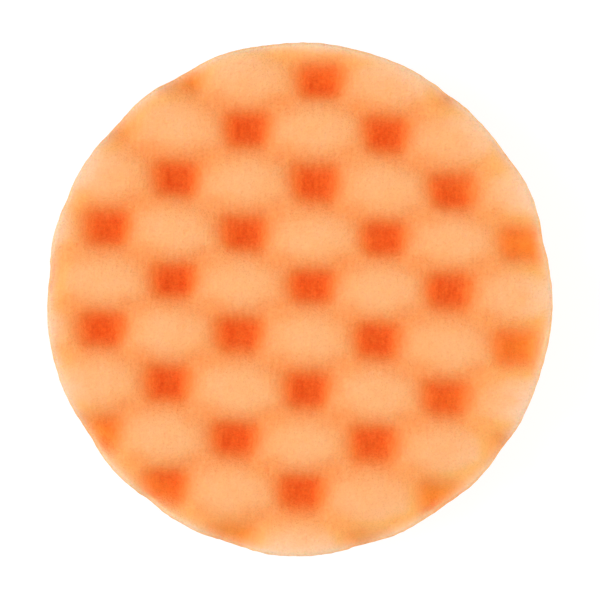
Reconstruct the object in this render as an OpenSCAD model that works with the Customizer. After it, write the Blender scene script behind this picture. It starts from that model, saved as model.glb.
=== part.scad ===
// Waffle-faced foam polishing pad with a loop-pile backing.
// It lies on its loop pile: +Z is the spin axis, towards the working face.

/* [Pad] */
// Diameter of the foam and of its backing
pad_d = 150; // [75:1:200]
// Thickness of the foam, from its backing to the tops of the bumps
foam_h = 25; // [18:0.5:40]

/* [Waffle face] */
// Depth of a pit below the tops of the bumps
pit_depth = 11; // [4:0.5:14]
// Distance from one pit to the next along X
pitch_x = 41; // [24:0.1:60]
// Distance from one pit to the next along Y
pitch_y = 30.5; // [20:0.1:50]
// Place along X of the pit nearest the pad's centre
pit_x = 3.5; // [-20:0.1:20]
// Place along Y of the pit nearest the pad's centre
pit_y = 3.7; // [-20:0.1:20]
// Half the width of a pit along X, halfway down its sides
half_x = 6.6; // [3:0.1:12]
// Half the width of a pit along Y, halfway down its sides
half_y = 5.3; // [3:0.1:10]
// Steepness of a pit's sides along X
steep_x = 4.6; // [2:0.1:8]
// Steepness of a pit's sides along Y
steep_y = 3; // [2:0.1:8]
// How much a pit's width along X grows on its +Y side and shrinks on its -Y side, as a share
taper = 0.1; // [0:0.01:0.3]
// Share of the relief that comes from a plain wave of bumps
wave_share = 0.15; // [0:0.05:0.9]
// Depth of the creases where two bumps meet, as a share of the relief
crease_share = 0.15; // [0:0.01:0.4]
// Narrowness of the creases: a higher number keeps them closer to the lines between the bumps
crease_steep = 4; // [2:0.5:8]

/* [Die-cut wall] */
// How far the wall draws in halfway up
waist = 0.8; // [0:0.1:2]

/* [Backing] */
// Thickness of the hot-melt film that bonds the cloth to the foam
film_t = 0.2; // [0.1:0.05:0.6]
// Thickness of the knitted ground cloth
cloth_t = 0.5; // [0.3:0.1:1]
// Height of the loop pile below the ground cloth
pile_h = 1.2; // [0.6:0.1:3]

/* [Hidden] */

// Rings of facets from the centre to the edge; ring k has 6 * k points
rings = 30;
// Rows of facets up the wall
wall_rows = 4;
// Facets of the backing discs' drawn outline
disc_fn = 180;

pad_r = pad_d / 2;
cloth_z = pile_h;
film_z = cloth_z + cloth_t;
foam_z = film_z + film_t;
bump_z = foam_z + foam_h;
rim_points = 6 * rings;
top_points = 1 + 3 * rings * (rings + 1);

// One rectangular grid of pits, moved by a share of the pitch: near 1 in a pit and near 0 between pits
function pit_grid(x, y, share) =
    let (
        turn_x = 180 * (x - pit_x) / pitch_x - 180 * share,
        turn_y = 180 * (y - pit_y) / pitch_y - 180 * share,
        width = half_x * (1 + taper * sin(2 * turn_y)),
        u = abs(sin(turn_x)) * pitch_x / PI / width,
        v = abs(sin(turn_y)) * pitch_y / PI / half_y
    )
    1 / (1 + pow(u, steep_x) + pow(v, steep_y));

// Two grids of pits, one in the middles of the other, over a plain wave of bumps with creases between them
function relief(x, y) =
    let (
        turn_x = 360 * (x - pit_x) / pitch_x,
        turn_y = 360 * (y - pit_y) / pitch_y,
        pits = pit_grid(x, y, 0) + pit_grid(x, y, 0.5),
        wave = (1 + cos(turn_x) * cos(turn_y)) / 2,
        crease = pow(abs(sin(turn_x) * sin(turn_y)), crease_steep)
    )
    (1 - wave_share) * pits + wave_share * wave + crease_share * crease;

at_pit = relief(pit_x, pit_y);
at_bump = relief(pit_x + pitch_x / 2, pit_y);

// Height of the waffle face
function face_z(x, y) = bump_z - pit_depth * (relief(x, y) - at_bump) / (at_pit - at_bump);

function on_face(r, angle) =
    let (x = r * cos(angle), y = r * sin(angle))
    [x, y, face_z(x, y)];

// Radius of the wall at a share of its height, 0 at the backing and 1 at the face
function wall_r(share) = pad_r - 4 * waist * share * (1 - share);

// Place of the i-th point of ring k in the list of points
function ring_id(k, i) = k == 0 ? 0 : 1 + 3 * k * (k - 1) + i % (6 * k);

// Place of the i-th point of a wall row, where row wall_rows is the face's rim
function wall_id(row, i) =
    row == wall_rows
    ? ring_id(rings, i)
    : top_points + row * rim_points + i % rim_points;

face_points = [
    on_face(0, 0),
    for (k = [1:rings])
        for (i = [0:6 * k - 1])
            on_face(pad_r * k / rings, 60 * i / k)
];

wall_points = [
    for (row = [0:wall_rows - 1])
        for (i = [0:rim_points - 1])
            let (
                angle = 360 * i / rim_points,
                rim_z = on_face(pad_r, angle).z,
                share = row / wall_rows,
                r = wall_r(share)
            )
            [r * cos(angle), r * sin(angle), foam_z + (rim_z - foam_z) * share]
];

// Between two rings, each sixth of the circle takes k outer and k - 1 inner triangles
face_triangles = [
    for (k = [1:rings])
        for (sixth = [0:5])
            for (j = [0:k - 1])
                let (
                    outer = sixth * k + j,
                    inner = sixth * (k - 1) + j
                )
                each [
                    [ring_id(k - 1, inner), ring_id(k, outer + 1), ring_id(k, outer)],
                    if (j < k - 1)
                        [ring_id(k - 1, inner), ring_id(k - 1, inner + 1), ring_id(k, outer + 1)]
                ]
];

wall_triangles = [
    for (row = [0:wall_rows - 1])
        for (i = [0:rim_points - 1])
            each [
                [wall_id(row + 1, i), wall_id(row + 1, i + 1), wall_id(row, i + 1)],
                [wall_id(row + 1, i), wall_id(row, i + 1), wall_id(row, i)]
            ]
];

backing_face = [for (i = [0:rim_points - 1]) wall_id(0, i)];

// One closed foam block: the waffle face, the die-cut wall and the flat back
module waffle_foam() {
    color("sandybrown")
        polyhedron(
            points = concat(face_points, wall_points),
            faces = concat(face_triangles, wall_triangles, [backing_face]),
            convexity = 10
        );
}

// A layer of the backing, a plain disc from height z up
module backing_disc(z, thickness) {
    translate([0, 0, z])
        cylinder(h = thickness, d = pad_d, $fn = disc_fn);
}

module bonding_film() {
    color("ivory") backing_disc(film_z, film_t);
}

module loop_ground_cloth() {
    color("dimgray") backing_disc(cloth_z, cloth_t);
}

module loop_pile() {
    color("gray") backing_disc(0, pile_h);
}

waffle_foam();
bonding_film();
loop_ground_cloth();
loop_pile();
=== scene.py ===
import math

import bpy
import numpy as np
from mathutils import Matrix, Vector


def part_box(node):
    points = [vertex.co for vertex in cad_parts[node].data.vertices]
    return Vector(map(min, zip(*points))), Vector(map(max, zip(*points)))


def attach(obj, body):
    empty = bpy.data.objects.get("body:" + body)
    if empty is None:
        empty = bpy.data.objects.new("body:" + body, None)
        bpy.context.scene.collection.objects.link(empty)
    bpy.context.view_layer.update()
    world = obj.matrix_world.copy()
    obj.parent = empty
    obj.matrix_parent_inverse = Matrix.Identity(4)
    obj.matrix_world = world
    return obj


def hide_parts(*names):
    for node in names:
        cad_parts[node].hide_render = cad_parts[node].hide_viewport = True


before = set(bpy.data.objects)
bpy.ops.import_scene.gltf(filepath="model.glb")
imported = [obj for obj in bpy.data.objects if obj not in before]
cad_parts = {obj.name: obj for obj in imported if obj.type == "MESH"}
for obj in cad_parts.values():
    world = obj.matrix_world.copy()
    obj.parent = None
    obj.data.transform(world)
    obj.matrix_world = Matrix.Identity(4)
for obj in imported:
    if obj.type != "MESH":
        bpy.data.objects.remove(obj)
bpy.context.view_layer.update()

# A waffle-faced foam polishing pad that lies on its loop-pile back. Lengths are in metres.
MM = 0.001

# Levels and radius, from the CAD nodes
foam_low, foam_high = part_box("waffle_foam")
film_low, film_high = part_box("bonding_film")
cloth_low, cloth_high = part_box("loop_ground_cloth")
pile_low, pile_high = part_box("loop_pile")
PAD_R = (cloth_high.x - cloth_low.x) / 2

# The waffle face, as in the CAD
PIT_DEPTH = 11 * MM
PITCH = (41.0 * MM, 30.5 * MM)
FIRST_PIT = (3.5 * MM, 3.7 * MM)
PIT_HALF = (6.6 * MM, 5.3 * MM)
PIT_STEEP = (4.6, 3.0)
PIT_TAPER = 0.1
WAVE_SHARE = 0.15
CREASE = 0.15
CREASE_STEEP = 4
WAIST = 0.8 * MM

# What the real face adds to it: bumps out of place, bumps of uneven height, small lumps and blade marks
MISPLACED = 0.5 * MM
SWELL = 0.22 * MM
LUMP = 0.07 * MM
BLADE_MARK = 0.05 * MM
# The same for the die-cut wall, where it fades out over this height above the foot
WALL_LUMP = 0.09 * MM
WALL_DRAG = 0.07 * MM
ROUGH_FADE = 2 * MM

# The real edge isn't a true circle. It is a little taller than wide: how far it lies inside the CAD's circle
# at its two sides, how much further out it stands at the two ends of Y, and how narrow those ends are
EDGE_INSET = 0.2 * MM
EDGE_OVAL = 1.0 * MM
OVAL_STEEP = 6
# How far it wanders, and how fast that dies away towards the middle of the face
EDGE_WANDER = 0.37 * MM
WANDER_STEEP = 6

# How far the light that comes in at the edge reaches through a bump, and down the wall
LIGHT_REACH = 4 * MM
LIGHT_DROP = 1.4 * MM
# How far it reaches through the thin foam of a pit, on the dim side and on the lit side of the pad
PIT_REACH = (7 * MM, 19 * MM)
LIT_SIDE = math.radians(-20)
# How far a pit's painted shade runs down the wall below it
PIT_DROP = 2.5 * MM

# Mesh density of the foam, and how far its edge and its foot are rounded
FACE_CELLS = 240
EDGE_ROWS = 7
WALL_ROWS = 26
EDGE_ROUND = 1.3 * MM
FOOT_ROUND = 0.3 * MM

# The greyish pale band along the very edge is painted shade where the rounded edge turns away from the light,
# paled where the white floor's light shows through the cut cells. Its width, its drop, and its strength on a
# bump and in a pit
EDGE_SHADE_REACH = 2.2 * MM
EDGE_SHADE_DROP = EDGE_ROUND / 2
EDGE_SHADE_SHARE = (0.95, 0.55)


# ---------------------------------------------------------------- noise and meshes


def sine_noise(seed, shortest, longest, count=28, squeeze=(1, 1, 1)):
    """A seeded sum of sine waves in space, about -1 to 1. squeeze multiplies their rates along x, y and z."""
    rng = np.random.default_rng(seed)
    way = rng.normal(size=(count, 3))
    way /= np.linalg.norm(way, axis=1)[:, None]
    length = np.exp(rng.uniform(math.log(shortest), math.log(longest), count))
    rate = 2 * math.pi * way / length[:, None] * np.array(squeeze)
    phase = rng.uniform(0, 2 * math.pi, count)

    def at(points):
        total = np.zeros(len(points))
        for k, p in zip(rate, phase):
            total += np.sin(points @ k + p)
        return total / math.sqrt(2 * count)

    return at


def between(ends, share):
    """The first of two values where share is 0 and the second where it is 1."""
    return ends[0] + (ends[1] - ends[0]) * share


def new_mesh(name, points, faces, smooth=True):
    """A mesh object in the row frame."""
    mesh = bpy.data.meshes.new(name)
    mesh.from_pydata(points.tolist(), [], faces)
    mesh.polygons.foreach_set("use_smooth", [smooth] * len(mesh.polygons))
    mesh.update()
    piece = bpy.data.objects.new(name, mesh)
    bpy.context.scene.collection.objects.link(piece)
    return piece


def add_values(piece, name, values):
    """One number for each point of a mesh, for its material."""
    piece.data.attributes.new(name, "FLOAT", "POINT").data.foreach_set("value", values)


def disc_grid(cells):
    """A square grid of cells x cells quads, mapped onto a disc of radius 1 with even spacing.

    Returns its points, its quads and the numbers of the rim's points, anticlockwise.
    """
    line = np.linspace(-1, 1, cells + 1)
    a, b = np.meshgrid(line, line, indexing="ij")
    a, b = a.ravel(), b.ravel()
    wide = np.abs(a) >= np.abs(b)
    r = np.where(wide, a, b)
    with np.errstate(divide="ignore", invalid="ignore"):
        turn = np.where(wide, math.pi / 4 * b / a, math.pi / 2 - math.pi / 4 * a / b)
    turn = np.nan_to_num(turn)
    points = np.stack([r * np.cos(turn), r * np.sin(turn)], axis=1)
    n = cells + 1
    corner = (np.arange(cells)[:, None] * n + np.arange(cells)[None, :]).ravel()
    quads = np.stack([corner, corner + n, corner + n + 1, corner + 1], axis=1)
    side = np.arange(cells)
    rim = np.concatenate([cells * n + side, (cells - side) * n + cells, cells - side, side * n])
    return points, quads, rim


def ring_quads(upper, lower):
    """Quads of the wall between two rings of point numbers, seen from outside."""
    return np.stack([lower, np.roll(lower, -1), np.roll(upper, -1), upper], axis=1)


# ---------------------------------------------------------------- the foam


def pit_grid(x, y, share):
    """One rectangular grid of squarish pits: near 1 on a pit's floor and near 0 between pits."""
    turn_x = math.pi * (x - FIRST_PIT[0] - share * PITCH[0]) / PITCH[0]
    turn_y = math.pi * (y - FIRST_PIT[1] - share * PITCH[1]) / PITCH[1]
    half_x = PIT_HALF[0] * (1 + PIT_TAPER * np.sin(2 * turn_y))
    u = np.abs(np.sin(turn_x)) * PITCH[0] / math.pi / half_x
    v = np.abs(np.sin(turn_y)) * PITCH[1] / math.pi / PIT_HALF[1]
    return 1 / (1 + u ** PIT_STEEP[0] + v ** PIT_STEEP[1])


def waffle(x, y):
    """Pits in two grids, one in the middles of the other, over a wave of bumps with creases between them."""
    turn_x = 2 * math.pi * (x - FIRST_PIT[0]) / PITCH[0]
    turn_y = 2 * math.pi * (y - FIRST_PIT[1]) / PITCH[1]
    pits = pit_grid(x, y, 0) + pit_grid(x, y, 0.5)
    wave = (1 + np.cos(turn_x) * np.cos(turn_y)) / 2
    crease = np.abs(np.sin(turn_x) * np.sin(turn_y)) ** CREASE_STEEP
    return (1 - WAVE_SHARE) * pits + WAVE_SHARE * wave + CREASE * crease


AT_PIT = waffle(FIRST_PIT[0], FIRST_PIT[1])
AT_BUMP = waffle(FIRST_PIT[0] + PITCH[0] / 2, FIRST_PIT[1])


def pit_fill(x, y):
    """0 on top of a bump, 1 at a pit's floor."""
    return (waffle(x, y) - AT_BUMP) / (AT_PIT - AT_BUMP)


wander_x = sine_noise(1, 30 * MM, 70 * MM)
wander_y = sine_noise(2, 30 * MM, 70 * MM)
swell = sine_noise(3, 18 * MM, 50 * MM)
lumps = sine_noise(4, 3 * MM, 9 * MM, count=60)
blade_marks = sine_noise(5, 2.2 * MM, 4 * MM, count=60, squeeze=(1, 0.08, 0.08))
wall_drag = sine_noise(6, 2 * MM, 6 * MM, count=60, squeeze=(1, 1, 0.15))
edge_wander = sine_noise(6646, 20 * MM, 60 * MM)


def edge_stand(xy):
    """How far the foam's edge stands out past the CAD's circle, in the direction of each point."""
    angle = np.arctan2(xy[:, 1], xy[:, 0])
    rim = np.column_stack([PAD_R * np.cos(angle), PAD_R * np.sin(angle), np.zeros(len(xy))])
    return EDGE_OVAL * np.sin(angle) ** OVAL_STEEP - EDGE_INSET + EDGE_WANDER * edge_wander(rim)


def foam_face(unit):
    """(points of the waffle face over a unit disc, how deep in a pit each is)."""
    r = np.linalg.norm(unit, axis=1)
    xy = unit * (PAD_R - EDGE_ROUND + edge_stand(unit) * r**WANDER_STEEP)[:, None]
    flat = np.column_stack([xy, np.zeros(len(xy))])
    x = xy[:, 0] + MISPLACED * wander_x(flat)
    y = xy[:, 1] + MISPLACED * wander_y(flat)
    fill = pit_fill(x, y)
    z = foam_high.z - PIT_DEPTH * fill
    z += SWELL * (swell(flat) - 1)
    z += LUMP * lumps(flat)
    z += BLADE_MARK * blade_marks(flat) * (1 - 0.5 * fill)
    return np.column_stack([xy, z]), fill


def foam_wall(rim, fill):
    """Rows of points from the face's rim over the rounded edge and down to the foot, and their pit values."""
    angle = np.arctan2(rim[:, 1], rim[:, 0])
    out = np.column_stack([np.cos(angle), np.sin(angle)])
    stand = edge_stand(rim[:, :2])
    edge_z = rim[:, 2]
    foot_z = foam_low.z
    ones = np.ones(len(rim))
    rows = []

    def add_row(r, z):
        rows.append(np.column_stack([out * (r * ones)[:, None], z * ones]))

    for k in range(1, EDGE_ROWS + 1):
        turn = math.pi / 2 * k / EDGE_ROWS
        r = PAD_R + stand - EDGE_ROUND * (1 - math.sin(turn))
        add_row(r, edge_z - EDGE_ROUND * (1 - math.cos(turn)))
    top_z = edge_z - EDGE_ROUND
    for k in range(1, WALL_ROWS + 1):
        share = 1 - k / WALL_ROWS
        r = PAD_R + stand * share**2 - 4 * WAIST * share * (1 - share)
        add_row(r, foot_z + FOOT_ROUND + (top_z - foot_z - FOOT_ROUND) * share)
    # The foot's small rounding
    add_row(PAD_R - 0.3 * FOOT_ROUND, foot_z + 0.3 * FOOT_ROUND)
    add_row(PAD_R - FOOT_ROUND, foot_z)

    fills = []
    for row in rows:
        depth = edge_z - row[:, 2]
        fills.append(fill * np.exp(-depth / PIT_DROP))
        rough = WALL_LUMP * lumps(row) + WALL_DRAG * wall_drag(row)
        inside = np.clip((row[:, 2] - foot_z) / ROUGH_FADE, 0, 1) * np.clip(depth / EDGE_ROUND, 0, 1)
        row[:, :2] += out * (rough * inside)[:, None]
    return rows, fills


def make_foam():
    unit, quads, rim = disc_grid(FACE_CELLS)
    face, fill = foam_face(unit)
    rows, fills = foam_wall(face[rim], fill[rim])
    points = np.vstack([face, *rows])
    faces = [quads]
    above = rim
    for k in range(len(rows)):
        below = len(face) + k * len(rim) + np.arange(len(rim))
        faces.append(ring_quads(above, below))
        above = below
    polygons = np.vstack(faces).tolist() + [above[::-1].tolist()]
    foam = new_mesh("foam_disc", points, polygons)

    # Each point's distance from the edge, inwards on the face and down on the wall
    inward = (PAD_R + edge_stand(face[:, :2]) - np.linalg.norm(face[:, :2], axis=1)).clip(0)
    down = np.concatenate([face[rim][:, 2] - row[:, 2] for row in rows])
    # The light that comes in at the cut edge: 1 at the edge, less inwards and down the wall
    lit = np.cos(np.arctan2(face[:, 1], face[:, 0]) - LIT_SIDE).clip(0)
    reach = between((LIGHT_REACH, between(PIT_REACH, lit)), np.sqrt(fill.clip(0)))
    edge = np.concatenate([np.exp(-((inward / reach) ** 2)), np.exp(-down / LIGHT_DROP)])
    # The painted shade along the very edge: 1 at the edge, less inwards and down the wall
    edge_shade = np.concatenate([np.exp(-((inward / EDGE_SHADE_REACH) ** 2)), np.exp(-((down / EDGE_SHADE_DROP) ** 2))])
    pit = np.concatenate([fill, *fills])
    add_values(foam, "pit", pit)
    add_values(foam, "edge", edge)
    add_values(foam, "edge_shade", edge_shade * between(EDGE_SHADE_SHARE, pit))
    add_values(foam, "wall", np.concatenate([np.zeros(len(face)), np.clip(down / MM, 0, 1)]))
    add_values(foam, "drag", pit * (1 - edge))
    foam.data.materials.append(foam_material())
    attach(foam, "root")
    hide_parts("waffle_foam")


# ---------------------------------------------------------------- the backing


def slab(name, low, high, radius, cells, lower=None, edge=None):
    """A thin closed disc between two heights.

    lower(points) moves its underside down, and edge(points) its rim outwards.
    """
    unit, quads, rim = disc_grid(cells)
    top = np.column_stack([unit * radius, np.full(len(unit), high)])
    bottom = np.column_stack([unit * radius, np.full(len(unit), low)])
    if lower is not None:
        bottom[:, 2] -= lower(bottom)
    middle = (top[rim] + bottom[rim]) / 2
    out = middle[:, :2] / np.linalg.norm(middle[:, :2], axis=1)[:, None]
    bulge = edge(middle) if edge is not None else np.zeros(len(rim))
    middle[:, :2] += out * bulge[:, None]
    n = len(unit)
    ring = 2 * n + np.arange(len(rim))
    faces = np.vstack([quads, quads[:, ::-1] + n, ring_quads(rim, ring), ring_quads(ring, rim + n)])
    return new_mesh(name, np.vstack([top, bottom, middle]), faces.tolist())


def make_film():
    ooze = sine_noise(11, 2 * MM, 12 * MM, count=40)
    film = slab(
        "adhesive_film",
        film_low.z,
        film_high.z,
        radius=PAD_R - 0.2 * MM,
        cells=60,
        edge=lambda p: 0.16 * MM * (1 + ooze(p)),
    )
    film.data.materials.append(film_material())
    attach(film, "root")
    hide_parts("bonding_film")


# A loop is a tube of LOOP_STEPS pieces with LOOP_SIDES sides
LOOP_STEPS = 5
LOOP_SIDES = 3
YARN_R = 0.13 * MM
# Loops stand this far apart in the middle of the pad and at its edge, and crowd over this distance from it
LOOP_SPACING = (1.92 * MM, 0.9 * MM)
LOOP_CROWD = 4 * MM
# How far a loop strays, as a share of the spacing, and how far it is turned, in radians
LOOP_STRAY = 0.35
LOOP_TURN = 0.9
# Its sideways lean, its half width, its height as a share of the pile's, how much it bulges, and how pointed
# its arch is
LOOP_LEAN = 0.7 * MM
LOOP_HALF = (0.55 * MM, 1.1 * MM)
LOOP_HEIGHT = (0.78, 1.0)
LOOP_BULGE = 0.25
LOOP_POINT = 0.7
# The loops' places and their yarns stay inside these circles
PLACES_R = PAD_R - 0.3 * MM
YARNS_R = PAD_R - 0.05 * MM


def loop_places(rng):
    """Where the loops stand, in rings from the pad's edge inwards."""
    rings = []
    ring_r = PLACES_R
    while ring_r > 0:
        spacing = between(LOOP_SPACING, math.exp((ring_r - PAD_R) / LOOP_CROWD))
        around = max(int(2 * math.pi * ring_r / spacing), 1)
        angle = 2 * math.pi * (np.arange(around) + rng.uniform()) / around
        ring = ring_r * np.column_stack([np.cos(angle), np.sin(angle)])
        rings.append(ring + rng.uniform(-LOOP_STRAY, LOOP_STRAY, ring.shape) * spacing)
        ring_r -= spacing
    places = np.vstack(rings)
    return places * np.minimum(1, PLACES_R / np.linalg.norm(places, axis=1))[:, None]


def make_pile():
    """Nylon loops that hang from the ground cloth, each bent into an arch."""
    rng = np.random.default_rng(21)
    places = loop_places(rng)
    count = len(places)
    turn = rng.normal(0, LOOP_TURN, count)
    along = np.column_stack([np.cos(turn), np.sin(turn), np.zeros(count)])
    across = np.column_stack([-np.sin(turn), np.cos(turn), np.zeros(count)])
    lean = across * rng.uniform(-LOOP_LEAN, LOOP_LEAN, count)[:, None]
    half = rng.uniform(*LOOP_HALF, count)
    drop = (pile_high.z - pile_low.z) * rng.uniform(*LOOP_HEIGHT, count) - YARN_R
    lowest = math.sin(math.pi * (LOOP_STEPS // 2) / LOOP_STEPS)
    points = []
    for k in range(LOOP_STEPS + 1):
        bend = math.pi * k / LOOP_STEPS
        out = -math.cos(bend) * (1 + LOOP_BULGE * math.sin(bend))
        down = (math.sin(bend) / lowest) ** LOOP_POINT if 0 < k < LOOP_STEPS else 0
        centre = np.column_stack([places, np.full(count, pile_high.z)])
        centre += along * (half * out)[:, None] + lean * down
        centre[:, 2] -= drop * down
        tangent = along * (half * math.sin(bend))[:, None]
        tangent[:, 2] -= drop * math.cos(bend)
        tangent /= np.linalg.norm(tangent, axis=1)[:, None]
        side = np.cross(along, [0, 0, 1.0])
        other = np.cross(tangent, side)
        for s in range(LOOP_SIDES):
            a = 2 * math.pi * s / LOOP_SIDES
            points.append(centre + YARN_R * (side * math.cos(a) + other * math.sin(a)))
    points = np.stack(points, axis=1)
    from_axis = np.linalg.norm(points[..., :2], axis=2)
    points[..., :2] *= np.minimum(1, YARNS_R / from_axis)[..., None]
    points[..., 2] = np.maximum(points[..., 2], pile_low.z)

    # Faces of one loop, repeated for all of them
    pattern = []
    for k in range(LOOP_STEPS):
        for s in range(LOOP_SIDES):
            a, b = k * LOOP_SIDES + s, k * LOOP_SIDES + (s + 1) % LOOP_SIDES
            pattern.append([a, b, b + LOOP_SIDES, a + LOOP_SIDES])
    end = LOOP_STEPS * LOOP_SIDES
    caps = [[2, 1, 0], [end, end + 1, end + 2]]
    first = (np.arange(count) * (LOOP_STEPS + 1) * LOOP_SIDES)[:, None, None]
    tubes = (np.array(pattern)[None] + first).reshape(-1, 4).tolist()
    ends = (np.array(caps)[None] + first).reshape(-1, 3).tolist()
    pile = new_mesh("loop_pile_yarns", points.reshape(-1, 3), tubes + ends)
    pile.data.materials.append(yarn_material())
    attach(pile, "root")
    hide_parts("loop_pile")
    return pile


def make_cloth(pile):
    ripple = sine_noise(31, 2.5 * MM, 7 * MM, count=40)
    fray = sine_noise(32, 0.8 * MM, 3 * MM, count=40)
    cloth = slab(
        "ground_knit",
        cloth_low.z,
        cloth_high.z,
        radius=PAD_R - 0.25 * MM,
        cells=180,
        lower=lambda p: 0.06 * MM * ripple(p),
        edge=lambda p: 0.1 * MM * (1 + fray(p)),
    )
    cloth.data.materials.append(knit_material())
    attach(cloth, "root")
    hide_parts("loop_ground_cloth")


# ---------------------------------------------------------------- materials


class Nodes:
    """A material's node tree, with short ways to add and join nodes."""

    def __init__(self, name):
        self.material = bpy.data.materials.new(name)
        self.material.use_nodes = True
        self.tree = self.material.node_tree
        self.shader = self.tree.nodes["Principled BSDF"]

    def give(self, socket, value):
        """Joins a socket to an input, or sets the input to a plain value."""
        if isinstance(value, bpy.types.NodeSocket):
            self.tree.links.new(value, socket)
        else:
            socket.default_value = value

    def add(self, kind, inputs=None, **settings):
        node = self.tree.nodes.new("ShaderNode" + kind)
        for key, value in settings.items():
            setattr(node, key, value)
        for key, value in (inputs or {}).items():
            self.give(node.inputs[key], value)
        return node

    def set(self, **values):
        """Sets inputs of the material's shader."""
        for key, value in values.items():
            self.give(self.shader.inputs[key.replace("_", " ")], value)

    def mix(self, blend, factor, first, second):
        """One colour blended over another."""
        node = self.add("Mix", data_type="RGBA", blend_type=blend)
        for index, value in ((0, factor), (6, first), (7, second)):
            self.give(node.inputs[index], value)
        return node.outputs[2]

    def math(self, operation, *values):
        return self.add("Math", dict(enumerate(values)), operation=operation).outputs["Value"]

    def value_at_points(self, name):
        """One of the numbers that the mesh has at its points."""
        return self.add("Attribute", attribute_name=name).outputs["Fac"]

    def noise(self, place, length, detail):
        return self.add("TexNoise", {"Vector": place, "Scale": 1 / length, "Detail": detail}).outputs["Fac"]

    def cells(self, place, width):
        """The distance from the middle of the nearest of many irregular cells."""
        return self.add("TexVoronoi", {"Vector": place, "Scale": 1 / width}, feature="F1").outputs["Distance"]

    def map_range(self, value, low, high):
        """Moves 0 to 1 into low to high."""
        return self.add("MapRange", {"Value": value, "To Min": low, "To Max": high}).outputs["Result"]

    def bump(self, height, strength, distance, below=None):
        node = self.add("Bump", {"Height": height, "Strength": strength, "Distance": distance})
        if below is not None:
            self.tree.links.new(below, node.inputs["Normal"])
        return node.outputs["Normal"]

    def ramp(self, factor, stops):
        node = self.add("ValToRGB", {"Fac": factor})
        elements = node.color_ramp.elements
        while len(elements) < len(stops):
            elements.new(0.5)
        for element, (place, colour) in zip(elements, stops):
            element.position = place
            element.color = (*colour, 1)
        return node.outputs["Color"]


def grey(value):
    return (value, value, value)


# The foam's colours away from the edge, from the tops of the bumps down into the pits. The darker, redder
# colours of the saddles, slopes and pits are painted shade for the light that is blocked and bounced about in
# them
FOAM_BUMP = (0.97, 0.455, 0.203)
FOAM_SADDLE_SHADE = (0.955, 0.397, 0.149)
FOAM_SLOPE_SHADE = (0.94, 0.3, 0.075)
FOAM_PIT_SHADE = (1.0, 0.198, 0.028)
# The same where light comes in at the cut edge
RIM_BUMP = (0.97, 0.6, 0.395)
RIM_SADDLE = (0.99, 0.49, 0.165)
RIM_SLOPE = (1.0, 0.4, 0.12)
RIM_PIT = (1.0, 0.35, 0.055)
# The painted greyish shade along the very edge
PAINTED_EDGE_SHADE = (0.85, 0.575, 0.395)
# The die-cut wall's colour
FOAM_WALL = (0.975, 0.37, 0.125)
# Sizes of the open cells
CELL = 0.6 * MM
WIDE_CELL = 1.9 * CELL


def foam_material():
    n = Nodes("open_cell_foam")
    place = n.add("TexCoord").outputs["Object"]
    pit = n.value_at_points("pit")
    edge = n.value_at_points("edge")
    wall = n.value_at_points("wall")
    edge_shade = n.value_at_points("edge_shade")
    drag = n.value_at_points("drag")
    # Painted shade: darker and redder the deeper a point lies in a pit
    inner_depth_shade = n.ramp(pit, [(0.04, FOAM_BUMP), (0.22, FOAM_SADDLE_SHADE), (0.55, FOAM_SLOPE_SHADE), (1.0, FOAM_PIT_SHADE)])
    rim_tint = n.ramp(pit, [(0.0, RIM_BUMP), (0.25, RIM_SADDLE), (0.55, RIM_SLOPE), (1.0, RIM_PIT)])
    tint = n.mix("MIX", wall, inner_depth_shade, (*FOAM_WALL, 1))
    tint = n.mix("MIX", edge, tint, rim_tint)
    # Painted shade along the very edge
    tint = n.mix("MIX", edge_shade, tint, (*PAINTED_EDGE_SHADE, 1))

    # The dye is a little uneven
    dye = n.noise(place, 9 * MM, 2.0)
    dye_shade = n.ramp(dye, [(0.35, (1.0, 0.97, 0.9)), (0.65, (0.985, 1.0, 1.0))])

    # Open cells: small ones all over, and larger ones of uneven size that show most on the die-cut wall.
    # Their darker middles are painted shade inside the pores
    cells = n.cells(place, CELL)
    cell_shade = n.ramp(cells, [(0.0, grey(0.9)), (0.6, grey(1.0))])
    size = n.noise(place, 2.2 * CELL, 1.0)
    wide_gap = n.math("ADD", n.cells(place, WIDE_CELL), n.map_range(size, -0.26, 0.3))
    wide_shade = n.ramp(wide_gap, [(0.14, (0.84, 0.66, 0.56)), (0.4, grey(1.0))])
    wide_share = n.map_range(wall, 0.06, 0.9)

    # Fine drag marks of the slitting blade, along Y, strongest in the pits
    stretched = n.add("Mapping", {"Vector": place, "Scale": (1 / (1.0 * MM), 1 / (6 * MM), 1 / (6 * MM))})
    marks = n.noise(stretched.outputs["Vector"], 1.0, 3.0)
    mark_shade = n.ramp(marks, [(0.32, (0.93, 0.8, 0.72)), (0.62, grey(1.0))])
    mark_share = n.map_range(drag, 0.15, 1.0)

    mottle = n.noise(place, 1.1 * MM, 4.0)
    mottle_shade = n.ramp(mottle, [(0.36, (0.93, 0.8, 0.7)), (0.62, grey(1.0))])

    colour = n.mix("MULTIPLY", 1.0, tint, cell_shade)
    colour = n.mix("MULTIPLY", 1.0, colour, dye_shade)
    colour = n.mix("MULTIPLY", wide_share, colour, wide_shade)
    colour = n.mix("MULTIPLY", mark_share, colour, mark_shade)
    colour = n.mix("MULTIPLY", mark_share, colour, mottle_shade)

    bump = n.bump(marks, 0.4, 0.6 * MM)
    bump = n.bump(cells, 0.5, 0.4 * MM, bump)
    bump = n.bump(wide_gap, 0.35, 0.5 * MM, bump)
    n.set(
        Base_Color=colour,
        Roughness=0.95,
        Specular_IOR_Level=0.15,
        Subsurface_Weight=0.5,
        Subsurface_Radius=(5 * MM, 1.8 * MM, 0.8 * MM),
        Subsurface_Scale=1.0,
        Normal=bump,
    )
    return n.material


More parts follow.
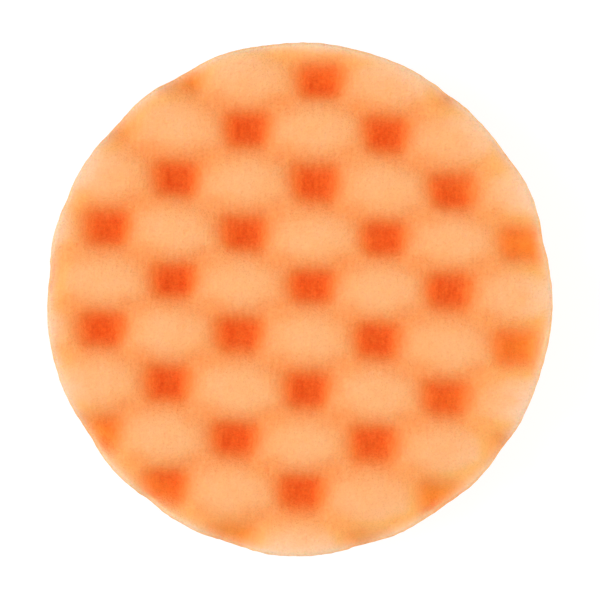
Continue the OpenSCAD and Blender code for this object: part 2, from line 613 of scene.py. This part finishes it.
def film_material():
    n = Nodes("hot_melt_film")
    cloud = n.noise(n.add("TexCoord").outputs["Object"], 3 * MM, 2.0)
    n.set(
        Base_Color=n.ramp(cloud, [(0.3, (0.80, 0.70, 0.48)), (0.7, (0.88, 0.82, 0.64))]),
        Roughness=0.35,
        Subsurface_Weight=0.2,
        Subsurface_Radius=(MM, MM, MM),
        Normal=n.bump(cloud, 0.3, 0.1 * MM),
    )
    return n.material


def yarn_material():
    n = Nodes("loop_yarn")
    strands = n.noise(n.add("TexCoord").outputs["Object"], 0.5 * MM, 2.0)
    n.set(
        Base_Color=n.ramp(strands, [(0.3, (0.24, 0.24, 0.26)), (0.7, (0.36, 0.36, 0.38))]),
        Roughness=0.6,
        Sheen_Weight=0.4,
        Normal=n.bump(strands, 0.4, 0.06 * MM),
    )
    return n.material


# Width of a column of stitches and height of a row
WALE = 1.5 * MM
COURSE = 1.1 * MM


def knit_material():
    """Columns of V-shaped stitches."""
    n = Nodes("ground_knit")
    place = n.add("TexCoord").outputs["Object"]
    wobble = n.map_range(n.noise(place, 4 * MM, 1.0), -0.6, 0.6)
    axes = n.add("SeparateXYZ", {"Vector": place})
    column = n.math("MULTIPLY_ADD", axes.outputs["X"], 1 / WALE, wobble)
    middle = n.math("PINGPONG", column, 0.5)
    row = n.math("MULTIPLY_ADD", axes.outputs["Y"], 1 / COURSE, middle)
    stitch = n.math("MINIMUM", middle, n.math("PINGPONG", row, 0.5))
    colour = n.ramp(stitch, [(0.04, (0.1, 0.1, 0.11)), (0.3, (0.25, 0.25, 0.26))])
    n.set(Base_Color=colour, Roughness=0.85, Sheen_Weight=0.3, Normal=n.bump(stitch, 0.7, 0.4 * MM))
    return n.material


# ---------------------------------------------------------------- floor, light and camera

FLOOR_HALF = 4.0
SOFTBOX_SIZE = (1.0, 0.9)
SOFTBOX_AWAY = 1.6
SOFTBOX_ELEVATION = math.radians(42)

# The camera looks straight down from almost over the pad's centre, and sees the rows of pits turned a little
CAMERA_HEIGHT = 0.955
CAMERA_LENS = 189.1
CAMERA_ASIDE = (0.22 * MM, -0.36 * MM)
LATTICE_TURN = math.radians(2.46)


def make_floor():
    corners = [(-1, -1, 0), (1, -1, 0), (1, 1, 0), (-1, 1, 0)]
    floor = new_mesh("floor", FLOOR_HALF * np.array(corners), [[0, 1, 2, 3]], smooth=False)
    n = Nodes("white_floor")
    # The glow makes up for the light that falls off away from the pad
    away = n.add("VectorMath", {0: n.add("TexCoord").outputs["Object"]}, operation="LENGTH")
    span = {"From Min": 0.2, "From Max": 1.2, "To Min": 0.8, "To Max": 1.0}
    glow = n.add("MapRange", {"Value": away.outputs["Value"], **span})
    n.set(
        Base_Color=(0.25, 0.25, 0.25, 1),
        Roughness=0.9,
        Emission_Color=(1, 1, 1, 1),
        Emission_Strength=glow.outputs["Result"],
    )
    floor.data.materials.append(n.material)


def make_softbox(name, azimuth, power, colour):
    """A square light that faces the pad. azimuth is anticlockwise from +X, in degrees."""
    light = bpy.data.lights.new(name, "AREA")
    light.shape = "RECTANGLE"
    light.size, light.size_y = SOFTBOX_SIZE
    light.energy = power
    light.color = colour
    box = bpy.data.objects.new(name, light)
    a = math.radians(azimuth)
    box.location = (
        SOFTBOX_AWAY * math.cos(a) * math.cos(SOFTBOX_ELEVATION),
        SOFTBOX_AWAY * math.sin(a) * math.cos(SOFTBOX_ELEVATION),
        SOFTBOX_AWAY * math.sin(SOFTBOX_ELEVATION),
    )
    box.rotation_euler = box.location.to_track_quat("Z", "Y").to_euler()
    box.visible_camera = False
    bpy.context.scene.collection.objects.link(box)


def make_world(strength):
    """Even white light from all round, in front of a plain white studio wall."""
    world = bpy.data.worlds.new("tent")
    world.use_nodes = True
    tree = world.node_tree
    background = tree.nodes["Background"]
    background.inputs["Color"].default_value = (1, 1, 1, 1)
    seen = tree.nodes.new("ShaderNodeLightPath")
    level = tree.nodes.new("ShaderNodeMapRange")
    level.inputs["To Min"].default_value = strength
    level.inputs["To Max"].default_value = 1.0
    tree.links.new(seen.outputs["Is Camera Ray"], level.inputs["Value"])
    tree.links.new(level.outputs["Result"], background.inputs["Strength"])
    bpy.context.scene.world = world


def make_camera():
    data = bpy.data.cameras.new("camera")
    data.sensor_width = 36
    data.lens = CAMERA_LENS
    camera = bpy.data.objects.new("camera", data)
    camera.location = (*CAMERA_ASIDE, CAMERA_HEIGHT)
    camera.rotation_euler = (0, 0, LATTICE_TURN)
    bpy.context.scene.collection.objects.link(camera)
    bpy.context.scene.camera = camera


make_camera()
make_foam()
make_film()
make_cloth(make_pile())
make_floor()
make_softbox("left_box", azimuth=180, power=16.4, colour=(0.93, 0.985, 1.0))
make_softbox("right_box", azimuth=0, power=10.7, colour=(1.0, 1.0, 0.88))
make_world(strength=0.55)
bpy.context.scene.view_settings.view_transform = "Standard"
bpy.context.scene.cycles.diffuse_bounces = 8
